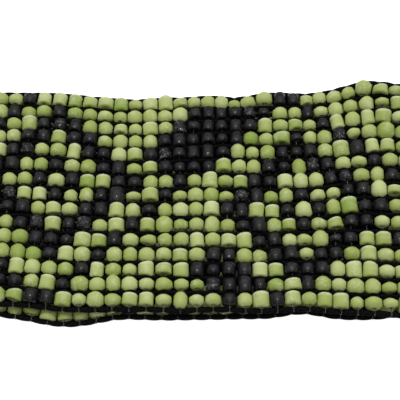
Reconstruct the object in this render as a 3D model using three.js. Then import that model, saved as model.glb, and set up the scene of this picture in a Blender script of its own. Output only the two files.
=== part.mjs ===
// A beaded belt: fifteen rows of seed beads woven on cords and joined end to end as one closed
// band, with a cord along each edge. The band lies flattened in two layers, folded at both ends.
// Millimetres. X runs along the belt, Y across it with the far edge at +Y, Z up.
import * as THREE from 'three';

// The beads and how they are set. A bead's hole runs across the band.
const beadDiameter = 3.9;
const beadLength = 3.3;
const beadShoulder = 0.4;
const rowCount = 15;
const columnCount = 192;
const spaceBetweenColumns = 0.1;
const spaceBetweenRows = 0.85;

// The cords: the band is as thin as its woven cords where two rows of beads meet.
const cordLayThickness = 1.8;
const edgeCordDiameter = 1.2;
const edgeCordGap = 0.3;

// The flattened loop: layers that nearly touch, and a rounder fold at each end.
const layerGap = 0.7;
const foldBore = 7.0;
const foldTaper = 36.0;

// How far the edges wander sideways at most, and how high the far edge ripples.
const edgeDrift = 2.0;
const rippleHeight = 7.0;

// Flat facets: steps round each fold and along each taper, and sides of a cord.
const foldSteps = 8;
const taperSteps = 4;
const cordSides = 8;

// Where the edges wander, from left to right. along is a share of the straight half length, far,
// near and under are shares of edgeDrift towards +Y, and lift is a share of rippleHeight. far is
// the far edge, near the upper layer's near edge, under the lower layer's near edge, and lift
// raises the upper layer's far edge.
const edgeWander = [
  { along: -0.52, far: 0.0, near: 0.0, under: 0.0, lift: 0.0 },
  { along: -0.295, far: 0.3, near: 0.95, under: 0.4, lift: 0.0 },
  { along: -0.25, far: 0.3, near: 0.75, under: -0.2, lift: 0.0 },
  { along: -0.18, far: -0.05, near: 0.1, under: -1.0, lift: 0.0 },
  { along: -0.11, far: -0.7, near: 0.1, under: -0.25, lift: 0.0 },
  { along: -0.045, far: -0.4, near: 0.05, under: -0.2, lift: 0.0 },
  { along: 0.03, far: 0.0, near: 0.0, under: -0.05, lift: 0.0 },
  { along: 0.085, far: 0.05, near: 0.0, under: 0.05, lift: 0.0 },
  { along: 0.14, far: 0.2, near: 0.2, under: 0.55, lift: 0.0 },
  { along: 0.185, far: 0.25, near: -0.1, under: -0.05, lift: 0.1 },
  { along: 0.23, far: 0.3, near: -0.45, under: -0.15, lift: 0.52 },
  { along: 0.27, far: 0.3, near: -0.6, under: 0.25, lift: 0.88 },
  { along: 0.315, far: 0.25, near: -0.6, under: 0.3, lift: 0.68 },
  { along: 0.38, far: 0.15, near: -0.3, under: 0.1, lift: 0.2 },
  { along: 0.49, far: 0.0, near: 0.0, under: 0.0, lift: 0.0 },
];
const flatEdges = { far: 0.0, near: 0.0, under: 0.0, lift: 0.0 };

// Sizes that follow from those above.
const rowPitch = beadLength + spaceBetweenRows;
const columnPitch = beadDiameter + spaceBetweenColumns;
const bandWidth = (rowCount - 1) * rowPitch + beadLength;
const loopLength = columnCount * columnPitch;
const foldRadius = (foldBore + beadDiameter) / 2;
const straightHalf = (loopLength - 2 * Math.PI * foldRadius) / 4;
const lowerHeight = beadDiameter / 2;
const upperHeight = lowerHeight + beadDiameter + layerGap;
const foldTop = lowerHeight + 2 * foldRadius;

// Stations round the loop. Each has a place on the band's middle surface, the direction out of
// the loop there, and how its edges wander.
function station(x, z, outX, outZ, layer, wander) {
  return { x, z, outX, outZ, layer, wander };
}

function lowerStations() {
  const inner = edgeWander.map((row) =>
    station(row.along * straightHalf, lowerHeight, 0, -1, 'lower', row));
  const first = station(-straightHalf, lowerHeight, 0, -1, 'lower', flatEdges);
  return [first, ...inner];
}

function upperStations() {
  const taperEnd = straightHalf - foldTaper;
  const inner = edgeWander.map((row) =>
    station(row.along * straightHalf, upperHeight, 0, 1, 'upper', row));
  const first = station(taperEnd, upperHeight, 0, 1, 'upper', flatEdges);
  const last = station(-taperEnd, upperHeight, 0, 1, 'upper', flatEdges);
  return [first, ...inner.reverse(), last];
}

// A fold turns half round: up from the lower layer at the right, side +1, and down again at the
// left, side -1.
function foldStations(side) {
  const centreHeight = lowerHeight + foldRadius;
  const turn = Array.from({ length: foldSteps + 1 }, (_, step) => {
    const angle = -Math.PI / 2 + (Math.PI * step) / foldSteps;
    const outX = side * Math.cos(angle);
    const outZ = Math.sin(angle);
    const x = side * straightHalf + foldRadius * outX;
    return station(x, centreHeight + foldRadius * outZ, outX, outZ, 'fold', flatEdges);
  });
  return side > 0 ? turn : turn.reverse();
}

// Next to a fold the upper layer slopes from the fold's top down to its flat stretch, along an
// S curve.
function taperStations(side) {
  const start = new THREE.Vector2(side * straightHalf, foldTop);
  const end = new THREE.Vector2(side * (straightHalf - foldTaper), upperHeight);
  const middle = (start.x + end.x) / 2;
  const curve = new THREE.CubicBezierCurve(
    start,
    new THREE.Vector2(middle, foldTop),
    new THREE.Vector2(middle, upperHeight),
    end,
  );
  const between = [];
  for (let step = 1; step < taperSteps; step += 1) {
    const place = curve.getPoint(step / taperSteps);
    const way = curve.getTangent(step / taperSteps);
    between.push(station(place.x, place.y, side * way.y, -side * way.x, 'upper', flatEdges));
  }
  return side > 0 ? between : between.reverse();
}

const loop = [
  ...lowerStations(),
  ...foldStations(1),
  ...taperStations(1),
  ...upperStations(),
  ...taperStations(-1),
  ...foldStations(-1).slice(0, -1),
];

// A point of the band: across is its distance from the middle line towards the far edge, and
// height its distance from the middle surface, out of the loop. The sideways drift and the lift
// fade with the square of the distance from the edge that they belong to.
function placed(at, across, height) {
  const towardsFar = across / bandWidth + 0.5;
  const nearShare = at.layer === 'lower' ? at.wander.under : at.wander.near;
  const drift = at.wander.far * towardsFar ** 2 + nearShare * (1 - towardsFar) ** 2;
  const lift = at.layer === 'upper' ? at.wander.lift * rippleHeight * towardsFar ** 2 : 0;
  return new THREE.Vector3(
    at.x + at.outX * height,
    across + drift * edgeDrift,
    at.z + at.outZ * height + lift,
  );
}

// One closed ring: the same section at every station, each joined to the next and the last to
// the first.
function ringGeometry(section) {
  const positions = [];
  for (const at of loop) {
    for (const point of section) {
      positions.push(...placed(at, point.across, point.height).toArray());
    }
  }
  const indices = [];
  const around = section.length;
  for (let ring = 0; ring < loop.length; ring += 1) {
    const nextRing = (ring + 1) % loop.length;
    for (let side = 0; side < around; side += 1) {
      const nextSide = (side + 1) % around;
      const a = ring * around + side;
      const b = ring * around + nextSide;
      const c = nextRing * around + nextSide;
      const d = nextRing * around + side;
      indices.push(a, c, b, a, d, c);
    }
  }
  const geometry = new THREE.BufferGeometry();
  geometry.setAttribute('position', new THREE.Float32BufferAttribute(positions, 3));
  geometry.setIndex(indices);
  geometry.computeVertexNormals();
  return geometry;
}

// The band's section: a flat-topped rib for each row of beads and a valley between two rows, on
// the outside from the far edge to the near edge and back on the inside.
function bandSection() {
  const crest = beadDiameter / 2;
  const valley = cordLayThickness / 2;
  const outside = [];
  for (let row = 0; row < rowCount; row += 1) {
    const middle = ((rowCount - 1) / 2 - row) * rowPitch;
    const farEnd = row === 0 ? 0 : beadShoulder;
    const nearEnd = row === rowCount - 1 ? 0 : beadShoulder;
    outside.push({ across: middle + beadLength / 2 - farEnd, height: crest });
    outside.push({ across: middle - beadLength / 2 + nearEnd, height: crest });
    if (row < rowCount - 1) {
      outside.push({ across: middle - rowPitch / 2, height: valley });
    }
  }
  const inside = outside.map((point) => ({ across: point.across, height: -point.height }));
  return [...outside, ...inside.reverse()];
}

// A cord's section beside one edge of the band, side +1 for the far edge.
function edgeCordSection(side) {
  const radius = edgeCordDiameter / 2;
  const middle = side * (bandWidth / 2 + edgeCordGap + radius);
  return Array.from({ length: cordSides }, (_, corner) => {
    const angle = (2 * Math.PI * corner) / cordSides;
    return { across: middle + radius * Math.cos(angle), height: radius * Math.sin(angle) };
  });
}

function piece(name, section, material) {
  const mesh = new THREE.Mesh(ringGeometry(section), material);
  mesh.name = name;
  return mesh;
}

const glassBeads = new THREE.MeshStandardMaterial({ color: 0xa5be5f, roughness: 0.3, metalness: 0 });
const blackCord = new THREE.MeshStandardMaterial({ color: 0x141414, roughness: 0.7, metalness: 0 });

const belt = new THREE.Group();
belt.add(piece('bead_band', bandSection(), glassBeads));
belt.add(piece('edge_cord_far', edgeCordSection(1), blackCord));
belt.add(piece('edge_cord_near', edgeCordSection(-1), blackCord));

// The origin is under the middle of the whole belt, on the surface that it lies on.
const extent = new THREE.Box3().setFromObject(belt);
const centre = extent.getCenter(new THREE.Vector3());
belt.position.set(-centre.x, -centre.y, -extent.min.z);

export default belt;
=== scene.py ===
"""A beaded belt: seed beads woven in fifteen rows, lying flattened as a closed loop.

Sizes are in millimetres until a mesh is made. X runs along the belt, Y across it with the far
edge at +Y, and Z is up. Columns are counted along the belt and rows from the far edge.
"""

from __future__ import annotations

import logging
import math
from collections.abc import Callable
from dataclasses import dataclass, field
from enum import Enum
from typing import NamedTuple

import bpy
import numpy as np
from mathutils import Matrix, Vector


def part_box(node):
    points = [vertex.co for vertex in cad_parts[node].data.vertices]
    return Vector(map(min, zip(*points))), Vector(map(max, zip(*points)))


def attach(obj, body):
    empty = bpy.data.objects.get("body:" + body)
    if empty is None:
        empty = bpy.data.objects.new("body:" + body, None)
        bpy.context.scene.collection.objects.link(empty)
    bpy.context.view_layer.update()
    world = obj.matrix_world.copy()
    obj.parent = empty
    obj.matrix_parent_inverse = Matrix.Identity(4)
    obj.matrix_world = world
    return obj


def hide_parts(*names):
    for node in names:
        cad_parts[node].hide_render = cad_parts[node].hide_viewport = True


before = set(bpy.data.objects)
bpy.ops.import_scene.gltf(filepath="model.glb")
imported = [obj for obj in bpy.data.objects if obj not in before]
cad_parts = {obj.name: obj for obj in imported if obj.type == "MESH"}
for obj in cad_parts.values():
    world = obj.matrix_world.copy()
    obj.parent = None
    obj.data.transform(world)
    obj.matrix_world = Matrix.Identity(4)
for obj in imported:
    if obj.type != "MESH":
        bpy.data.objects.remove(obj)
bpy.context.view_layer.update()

LOG = logging.getLogger("beaded_belt")
MILLIMETRE = 0.001
BODY = "root"
BAND_NODE = "bead_band"
CORD_CHART = "cord"

Colour = tuple[float, float, float, float]


class Edge(Enum):
    """The belt's two edges, as the way to each from the middle line."""

    FAR = 1
    NEAR = -1


CORD_NODES = {Edge.FAR: "edge_cord_far", Edge.NEAR: "edge_cord_near"}


class Wander(NamedTuple):
    """How the edges wander at one place along the belt.

    along is a share of the straight half length. far, near and under are shares of the edge
    drift, lift is a share of the ripple's height, and the two leans are millimetres by which
    the upper layer's beads lean along the belt at its far and near edge.
    """

    along: float
    far: float
    near: float
    under: float
    lift: float
    lean_far: float
    lean_near: float


EDGE_WANDER = (
    Wander(-0.52, 0.0, 0.0, 0.0, 0.0, 0.0, 0.0),
    Wander(-0.295, 0.3, 0.95, 0.4, 0.0, -0.5, 0.0),
    Wander(-0.25, 0.3, 0.75, -0.2, 0.0, -0.8, -0.1),
    Wander(-0.18, -0.05, 0.1, -1.0, 0.0, -0.3, 0.0),
    Wander(-0.11, -0.7, 0.1, -0.25, 0.0, 0.0, 0.1),
    Wander(-0.045, -0.4, 0.05, -0.2, 0.0, 0.2, 0.6),
    Wander(0.03, 0.0, 0.0, -0.05, 0.0, -0.4, 0.7),
    Wander(0.085, 0.05, 0.0, 0.05, 0.0, -1.1, 0.4),
    Wander(0.14, 0.2, 0.2, 0.55, 0.0, -1.1, 0.2),
    Wander(0.185, 0.25, -0.1, -0.05, 0.1, -1.5, -0.2),
    Wander(0.23, 0.3, -0.45, -0.15, 0.52, -1.6, -0.1),
    Wander(0.27, 0.3, -0.6, 0.25, 0.88, -1.6, 0.0),
    Wander(0.315, 0.25, -0.6, 0.3, 0.68, -1.3, 0.0),
    Wander(0.38, 0.15, -0.3, 0.1, 0.2, -0.6, 0.0),
    Wander(0.49, 0.0, 0.0, 0.0, 0.0, 0.0, 0.0),
)


class Sway(NamedTuple):
    """How the upper layer's rows sway out of line at one column, in millimetres.

    The three aside values move the rows towards the far edge, a quarter, a half and three
    quarters of the way from it. The four ahead values move them along the belt, at the far
    edge and at those three places. The near edge stays.
    """

    column: float
    aside_high: float
    aside_middle: float
    aside_low: float
    ahead_far: float
    ahead_high: float
    ahead_middle: float
    ahead_low: float


ROW_SWAY = (
    Sway(-7.0, 0.0, 0.0, 0.0, 0.0, 0.0, 0.0, 0.0),
    Sway(0.0, 0.75, 0.2, -0.15, 0.0, 0.4, 0.25, 0.1),
    Sway(2.5, 1.1, 0.0, -0.5, -0.1, 0.25, 0.25, 0.0),
    Sway(6.0, 0.3, 0.0, -0.4, 0.0, 0.2, 0.2, 0.0),
    Sway(10.0, 0.2, 0.0, -0.4, 0.1, 0.2, 0.35, 0.0),
    Sway(13.0, 0.3, 0.1, -0.5, -0.1, -0.3, 0.2, 0.3),
    Sway(16.0, 0.4, -0.3, -0.7, -0.45, -0.3, 0.15, 0.3),
    Sway(19.0, 0.1, -0.6, -0.5, -0.2, -0.25, 0.0, 0.2),
    Sway(21.0, 0.3, -0.2, -0.3, -0.3, -0.55, 0.1, -0.2),
    Sway(22.5, 0.5, 0.9, 0.1, -0.6, -0.65, 0.2, -0.25),
    Sway(24.5, 0.65, 1.3, 0.15, -1.0, -0.65, 0.0, -0.25),
    Sway(27.0, 0.4, 0.6, -0.1, -0.9, -0.75, -0.2, -0.35),
    Sway(34.0, 0.0, 0.0, 0.0, 0.0, 0.0, 0.0, 0.0),
)


@dataclass(frozen=True)
class BeltSizes:
    """The belt's driving sizes, in millimetres, as its solids have them."""

    bead_across: float = 3.9
    bead_long: float = 3.3
    row_count: int = 15
    column_count: int = 192
    space_between_columns: float = 0.1
    space_between_rows: float = 0.85
    edge_cord_across: float = 1.2
    edge_cord_gap: float = 0.3
    layer_gap: float = 0.7
    fold_bore: float = 7.0
    fold_taper: float = 36.0
    edge_drift: float = 2.0
    ripple_height: float = 7.0
    first_column: float = 13.5

    @property
    def row_pitch(self) -> float:
        """The distance from one row of beads to the next."""
        return self.bead_long + self.space_between_rows

    @property
    def column_pitch(self) -> float:
        """The distance from one column of beads to the next."""
        return self.bead_across + self.space_between_columns

    @property
    def band_width(self) -> float:
        """The width of the woven field, without its edge cords."""
        return (self.row_count - 1) * self.row_pitch + self.bead_long

    @property
    def fold_radius(self) -> float:
        """The radius of a fold, to the middle of the band."""
        return (self.fold_bore + self.bead_across) / 2

    @property
    def straight_half(self) -> float:
        """The distance from the middle of the belt to a fold's centre."""
        loop_length = self.column_count * self.column_pitch
        return (loop_length - 2 * math.pi * self.fold_radius) / 4

    @property
    def lower_height(self) -> float:
        """The height of the lower layer's middle."""
        return self.bead_across / 2

    @property
    def upper_height(self) -> float:
        """The height of the upper layer's middle, where it lies flat."""
        return self.lower_height + self.bead_across + self.layer_gap

    @property
    def fold_top(self) -> float:
        """The height of the band's middle at the top of a fold."""
        return self.lower_height + 2 * self.fold_radius

    @property
    def edge_cord_middle(self) -> float:
        """The distance from the middle line to the middle of an edge cord."""
        return self.band_width / 2 + self.edge_cord_gap + self.edge_cord_across / 2

    def row_middle(self, row: float) -> float:
        """The distance of a row from the middle line, towards the far edge."""
        return ((self.row_count - 1) / 2 - row) * self.row_pitch


def smooth_between(places: np.ndarray, stops: np.ndarray, values: np.ndarray) -> np.ndarray:
    """Read a short table as one smooth curve through its rows.

    Args:
        places: where to read it.
        stops: the places of its rows, rising.
        values: its value at each row.

    Returns:
        The value at each place, held level past both ends.
    """
    slopes = np.gradient(values, stops)
    slopes[0] = slopes[-1] = 0.0
    held = np.clip(places, stops[0], stops[-1])
    before = np.clip(np.searchsorted(stops, held, side="right") - 1, 0, len(stops) - 2)
    span = stops[before + 1] - stops[before]
    share = (held - stops[before]) / span
    rise = values[before + 1] - values[before]
    ease = share * share * (3 - 2 * share)
    leave = share * (1 - share) ** 2 * slopes[before] * span
    arrive = share * share * (share - 1) * slopes[before + 1] * span
    return values[before] + rise * ease + leave + arrive


def unit(vectors: np.ndarray) -> np.ndarray:
    """Give vectors of length one that point the same way."""
    return vectors / np.linalg.norm(vectors, axis=-1, keepdims=True)


@dataclass
class BeltLie:
    """How the flattened loop lies: its middle line all round, and its wandering edges."""

    sizes: BeltSizes
    offset_across: float = 0.0
    steps: int = 64
    line: np.ndarray = field(init=False)
    outward: np.ndarray = field(init=False)
    travelled: np.ndarray = field(init=False)

    def __post_init__(self) -> None:
        """Trace the middle line once round, from the middle of the upper layer."""
        self.line = self._trace()
        moves = np.diff(self.line, axis=0)
        self.travelled = np.concatenate([[0.0], np.cumsum(np.hypot(*moves.T))])
        ways = unit(np.roll(self.line[:-1], -1, axis=0) - np.roll(self.line[:-1], 1, axis=0))
        out = np.stack([-ways[:, 1], ways[:, 0]], axis=1)
        self.outward = np.concatenate([out, out[:1]])

    def _trace(self) -> np.ndarray:
        """Trace the middle line in the plane of X and Z.

        Returns:
            Its points, towards +X on the upper layer, with the first one repeated at the end.
        """
        sizes = self.sizes
        flat_end = sizes.straight_half - sizes.fold_taper
        share = np.linspace(0, 1, self.steps)
        # The slope is a Bezier curve with level handles, each half as long as the slope.
        reach = 1.5 * share * (1 - share) + share**3
        rise = share * share * (3 - 2 * share)
        flat = np.stack([share * flat_end, np.full_like(share, sizes.upper_height)], axis=1)
        slope = np.stack(
            [
                flat_end + reach * sizes.fold_taper,
                sizes.upper_height + rise * (sizes.fold_top - sizes.upper_height),
            ],
            axis=1,
        )
        turn = math.pi * (0.5 - share)
        fold = np.stack(
            [
                sizes.straight_half + sizes.fold_radius * np.cos(turn),
                sizes.lower_height + sizes.fold_radius * (1 + np.sin(turn)),
            ],
            axis=1,
        )
        under = np.stack(
            [(1 - share) * sizes.straight_half, np.full_like(share, sizes.lower_height)], axis=1
        )
        right = np.concatenate([flat, slope[1:], fold[1:], under[1:]])
        left = right[::-1] * np.array([-1.0, 1.0])
        return np.concatenate([right, left[1:]])

    @property
    def length(self) -> float:
        """The length of the middle line, once round."""
        return float(self.travelled[-1])

    def _wander_at(self, places: np.ndarray, name: str) -> np.ndarray:
        """Read one column of the wander table.

        Args:
            places: places along the belt.
            name: the column's name.

        Returns:
            The column's value at each place.
        """
        stops = np.array([row.along for row in EDGE_WANDER]) * self.sizes.straight_half
        values = np.array([getattr(row, name) for row in EDGE_WANDER])
        return smooth_between(places, stops, values)

    def _sway_at(self, places: np.ndarray, across: np.ndarray, way: str) -> np.ndarray:
        """Read how far the upper layer's rows sway.

        Args:
            places: places along the belt.
            across: the distances from the middle line.
            way: aside for the sway towards the far edge, ahead for the one along the belt.

        Returns:
            The sway at each place, in millimetres.
        """
        sizes = self.sizes
        stops = np.array([row.column - sizes.first_column for row in ROW_SWAY]) * sizes.column_pitch
        quarters = 4 * np.clip(0.5 - across / (2 * sizes.row_middle(0)), 0.0, 1.0)
        sway = np.zeros(np.shape(places))
        for quarter, name in enumerate(("far", "high", "middle", "low")):
            if f"{way}_{name}" in Sway._fields:
                values = np.array([getattr(row, f"{way}_{name}") for row in ROW_SWAY])
                nearness = np.cos(math.pi / 2 * np.clip(quarters - quarter, -1, 1)) ** 2
                sway = sway + smooth_between(places, stops, values) * nearness
        return sway

    def upward(self, along: np.ndarray) -> np.ndarray:
        """Say how far the band faces up: 1 on the upper layer, 0 on the lower one."""
        facing = np.interp(np.mod(along, self.length), self.travelled, self.outward[:, 1])
        return np.clip(facing, 0.0, 1.0)

    def place(self, along: np.ndarray, across: np.ndarray, height: np.ndarray) -> np.ndarray:
        """Give the points of the band that lie at some distances.

        Args:
            along: the distance round the loop from the middle of the upper layer.
            across: the distance from the middle line towards the far edge.
            height: the distance from the middle of the band, out of the loop.

        Returns:
            One point for each, in millimetres.
        """
        along, across, height = np.broadcast_arrays(along, across, height)
        round_loop = np.mod(along, self.length)
        x, z = (np.interp(round_loop, self.travelled, column) for column in self.line.T)
        out = np.stack(
            [np.interp(round_loop, self.travelled, column) for column in self.outward.T], axis=-1
        )
        out = unit(out)
        upper = out[..., 1] > 0
        # What an edge does fades out with the square of the distance from the other edge.
        to_far = (across / self.sizes.band_width + 0.5) ** 2
        to_near = (0.5 - across / self.sizes.band_width) ** 2
        near = np.where(upper, self._wander_at(x, "near"), self._wander_at(x, "under"))
        drift = self._wander_at(x, "far") * to_far + near * to_near
        lift = np.where(upper, np.maximum(self._wander_at(x, "lift"), 0.0) * to_far, 0.0)
        lean = self._wander_at(x, "lean_far") * to_far + self._wander_at(x, "lean_near") * to_near
        ahead = np.where(upper, lean + self._sway_at(x, across, "ahead"), 0.0)
        aside = np.where(upper, self._sway_at(x, across, "aside"), 0.0)
        return np.stack(
            [
                x + out[..., 0] * height + ahead,
                across + drift * self.sizes.edge_drift + aside + self.offset_across,
                z + out[..., 1] * height + lift * self.sizes.ripple_height,
            ],
            axis=-1,
        )

    def axes(
        self, along: np.ndarray, across: np.ndarray
    ) -> tuple[np.ndarray, np.ndarray, np.ndarray]:
        """Give the band's own directions at some distances.

        Args:
            along: the distance round the loop.
            across: the distance from the middle line.

        Returns:
            The ways along the belt, across it and out of the loop, of length one.
        """
        # The ways are read from points half a millimetre to each side.
        reach = 0.5
        ahead = self.place(along + reach, across, 0.0) - self.place(along - reach, across, 0.0)
        aside = self.place(along, across + reach, 0.0) - self.place(along, across - reach, 0.0)
        ahead = unit(ahead)
        out = unit(np.cross(ahead, aside))
        return ahead, np.cross(out, ahead), out


def lie_in_frame(sizes: BeltSizes) -> BeltLie:
    """Lay the belt where the frame's solids lie.

    The edges wander by different amounts, so the middle line isn't at Y = 0. Its place is read
    from the boxes of the two edge cords.

    Args:
        sizes: the belt's sizes.

    Returns:
        The belt's lie.
    """
    far_shares = [row.far for row in EDGE_WANDER]
    near_shares = [share for row in EDGE_WANDER for share in (row.near, row.under)]
    half = sizes.edge_cord_middle + sizes.edge_cord_across / 2
    drift = sizes.edge_drift * (half / sizes.band_width + 0.5) ** 2
    own_far = half + max(far_shares) * drift
    own_near = -half + min(near_shares) * drift
    box_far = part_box(CORD_NODES[Edge.FAR])[1][1] / MILLIMETRE
    box_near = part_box(CORD_NODES[Edge.NEAR])[0][1] / MILLIMETRE
    return BeltLie(sizes, offset_across=(box_far - own_far + box_near - own_near) / 2)


class Tone(Enum):
    """The two colours of bead."""

    LIME = "lime"
    BLACK = "black"


@dataclass(frozen=True)
class Diamond:
    """A diamond of the pattern: rings of black beads round a centre bead."""

    column: int
    row: int
    rings: tuple[int, ...] = (1, 4, 5)

    def holds(self, column: int, row: int) -> bool:
        """Say whether a bead lies on one of the rings."""
        return abs(column - self.column) + abs(row - self.row) in self.rings


@dataclass(frozen=True)
class Slant:
    """A slanting line of the pattern, one column for each row."""

    column: int
    first_row: int
    last_row: int
    step: int

    def holds(self, column: int, row: int) -> bool:
        """Say whether a bead lies on the line."""
        inside = self.first_row <= row <= self.last_row
        return inside and column == self.column + self.step * (row - self.first_row)


@dataclass(frozen=True)
class Bar:
    """A stretch of black beads in one row."""

    row: int
    first_column: int
    last_column: int

    def holds(self, column: int, row: int) -> bool:
        """Say whether a bead lies on the stretch."""
        return row == self.row and self.first_column <= column <= self.last_column


@dataclass(frozen=True)
class WovenPattern:
    """The woven pattern, as figures on columns 0 to 31 and rows 1 to 15, repeated all round."""

    repeat: int = 32
    figures: tuple[Diamond | Slant | Bar, ...] = (
        Diamond(4, 7),
        Slant(2, 1, 7, -1),
        Slant(12, 7, 15, -1),
        Slant(-4, 8, 15, 1),
        Diamond(20, 9),
        Slant(20, 1, 9, 1),
        Slant(28, 9, 11, -1),
        Slant(15, 12, 15, 1),
        Bar(1, 19, 19),
        Bar(2, 13, 18),
        Bar(3, 12, 17),
        Bar(4, 11, 16),
        Bar(5, 10, 15),
        Bar(6, 11, 14),
        Bar(12, 14, 15),
        Bar(13, 13, 16),
        Bar(14, 14, 17),
        Bar(15, 15, 15),
        Bar(14, 1, 1),
    )

    def tone(self, column: int, row: int) -> Tone:
        """Say which colour a bead has.

        Args:
            column: its column, counted round the whole loop.
            row: its row, from 0 at the far edge.

        Returns:
            The bead's colour.
        """
        places = [column % self.repeat + turn * self.repeat for turn in (-1, 0, 1)]
        black = any(figure.holds(place, row + 1) for figure in self.figures for place in places)
        return Tone.BLACK if black else Tone.LIME


class Span(NamedTuple):
    """A range of some number, and what its two ends become."""

    low: float
    high: float
    first: float = 0.0
    last: float = 1.0


class NodeDesk:
    """Lays out the nodes of one tree, with short calls."""

    def __init__(self, tree: bpy.types.NodeTree) -> None:
        """Start on an empty tree."""
        self.tree = tree
        tree.nodes.clear()

    def node(self, kind: str, **settings: object) -> bpy.types.Node:
        """Add a node.

        Args:
            kind: the node's type name in Blender.
            settings: properties to set on it.

        Returns:
            The node.
        """
        made = self.tree.nodes.new(kind)
        for name, value in settings.items():
            setattr(made, name, value)
        return made

    def feed(self, socket: bpy.types.NodeSocket, source: object) -> None:
        """Link an output to a socket, or set the socket's own value.

        Args:
            socket: the socket.
            source: an output, or a value.
        """
        if isinstance(source, bpy.types.NodeSocket):
            self.tree.links.new(source, socket)
        else:
            socket.default_value = source

    def maths(self, operation: str, *values: object) -> bpy.types.NodeSocket:
        """Work on one or more numbers.

        Args:
            operation: the Math node's operation.
            values: numbers or outputs.

        Returns:
            The result.
        """
        made = self.node("ShaderNodeMath", operation=operation)
        for socket, value in zip(made.inputs, values):
            self.feed(socket, value)
        return made.outputs[0]

    def mix(self, share: object, first: object, second: object) -> bpy.types.NodeSocket:
        """Mix two colours.

        Args:
            share: how much of the second.
            first: a colour or an output.
            second: a colour or an output.

        Returns:
            The mixed colour.
        """
        # Inputs 6 and 7 and output 2 are this node's colours. The others are for other data.
        made = self.node("ShaderNodeMix", data_type="RGBA")
        self.feed(made.inputs[0], share)
        self.feed(made.inputs[6], first)
        self.feed(made.inputs[7], second)
        return made.outputs[2]

    def span(self, value: object, span: Span) -> bpy.types.NodeSocket:
        """Map a number from one range to another, held at the ends.

        Args:
            value: the number.
            span: its range, and what the ends of that become.

        Returns:
            The mapped number.
        """
        made = self.node("ShaderNodeMapRange")
        for socket, given in zip(made.inputs, (value, *span)):
            self.feed(socket, given)
        return made.outputs[0]

    def attribute(self, name: str) -> bpy.types.NodeSocket:
        """Read a number that the mesh holds."""
        return self.node("ShaderNodeAttribute", attribute_name=name).outputs["Fac"]

    def ramp(self, share: object, stops: tuple[tuple[float, Colour], ...]) -> bpy.types.NodeSocket:
        """Give a colour from a row of named stops.

        Args:
            share: where to read the row, from 0 to 1.
            stops: each stop's place and colour.

        Returns:
            The colour.
        """
        made = self.node("ShaderNodeValToRGB")
        strip = made.color_ramp.elements
        while len(strip) < len(stops):
            strip.new(1.0)
        for element, (place, colour) in zip(strip, stops):
            element.position = place
            element.color = colour
        self.feed(made.inputs[0], share)
        return made.outputs[0]


class SharedEffect:
    """A surface effect that several materials use, as one node group with named sockets."""

    NAME = ""
    INPUTS: dict[str, float] = {}
    OUTPUTS: tuple[str, ...] = ()

    @classmethod
    def lay_out(cls, desk: NodeDesk, given: bpy.types.Node, result: bpy.types.Node) -> None:
        """Lay out the nodes between the group's inputs and its outputs."""
        raise NotImplementedError

    @classmethod
    def group(cls) -> bpy.types.NodeTree:
        """Give the effect's node group, built once.

        Returns:
            The group.
        """
        made = bpy.data.node_groups.get(cls.NAME)
        if made:
            return made
        made = bpy.data.node_groups.new(cls.NAME, "ShaderNodeTree")
        for name, value in cls.INPUTS.items():
            socket = made.interface.new_socket(name, in_out="INPUT", socket_type="NodeSocketFloat")
            socket.default_value = value
        for name in cls.OUTPUTS:
            made.interface.new_socket(name, in_out="OUTPUT", socket_type="NodeSocketFloat")
        desk = NodeDesk(made)
        cls.lay_out(desk, desk.node("NodeGroupInput"), desk.node("NodeGroupOutput"))
        return made

    @classmethod
    def placed(cls, desk: NodeDesk, *values: float) -> bpy.types.Node:
        """Put the effect in a material.

        Args:
            desk: the material's desk.
            values: one for each of the effect's inputs, in their order.

        Returns:
            The group's node.
        """
        node = desk.node("ShaderNodeGroup", node_tree=cls.group())
        for socket, value in zip(node.inputs, values, strict=True):
            desk.feed(socket, value)
        return node


class Mottle(SharedEffect):
    """Fine mottling of a surface, as a mask from 0 to 1 and a height. Scale is for each metre."""

    NAME = "mottle"
    INPUTS = {"Scale": 900.0, "Contrast": 0.5}
    OUTPUTS = ("Mask", "Height")
    DETAIL = 3.0
    ROUGHNESS = 0.6
    MIDDLE = 0.5

    @classmethod
    def lay_out(cls, desk: NodeDesk, given: bpy.types.Node, result: bpy.types.Node) -> None:
        """Lay out the mottling.

        Args:
            desk: the group's desk.
            given: the node of its inputs.
            result: the node of its outputs.
        """
        noise = desk.node("ShaderNodeTexNoise")
        desk.feed(noise.inputs["Vector"], desk.node("ShaderNodeTexCoord").outputs["Object"])
        desk.feed(noise.inputs["Scale"], given.outputs["Scale"])
        desk.feed(noise.inputs["Detail"], cls.DETAIL)
        desk.feed(noise.inputs["Roughness"], cls.ROUGHNESS)
        raised = desk.maths("SUBTRACT", noise.outputs[0], cls.MIDDLE)
        sharper = desk.maths("MULTIPLY_ADD", raised, given.outputs["Contrast"], cls.MIDDLE)
        held = desk.maths("MINIMUM", desk.maths("MAXIMUM", sharper, 0.0), 1.0)
        desk.feed(result.inputs["Mask"], held)
        desk.feed(result.inputs["Height"], noise.outputs[0])


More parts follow.
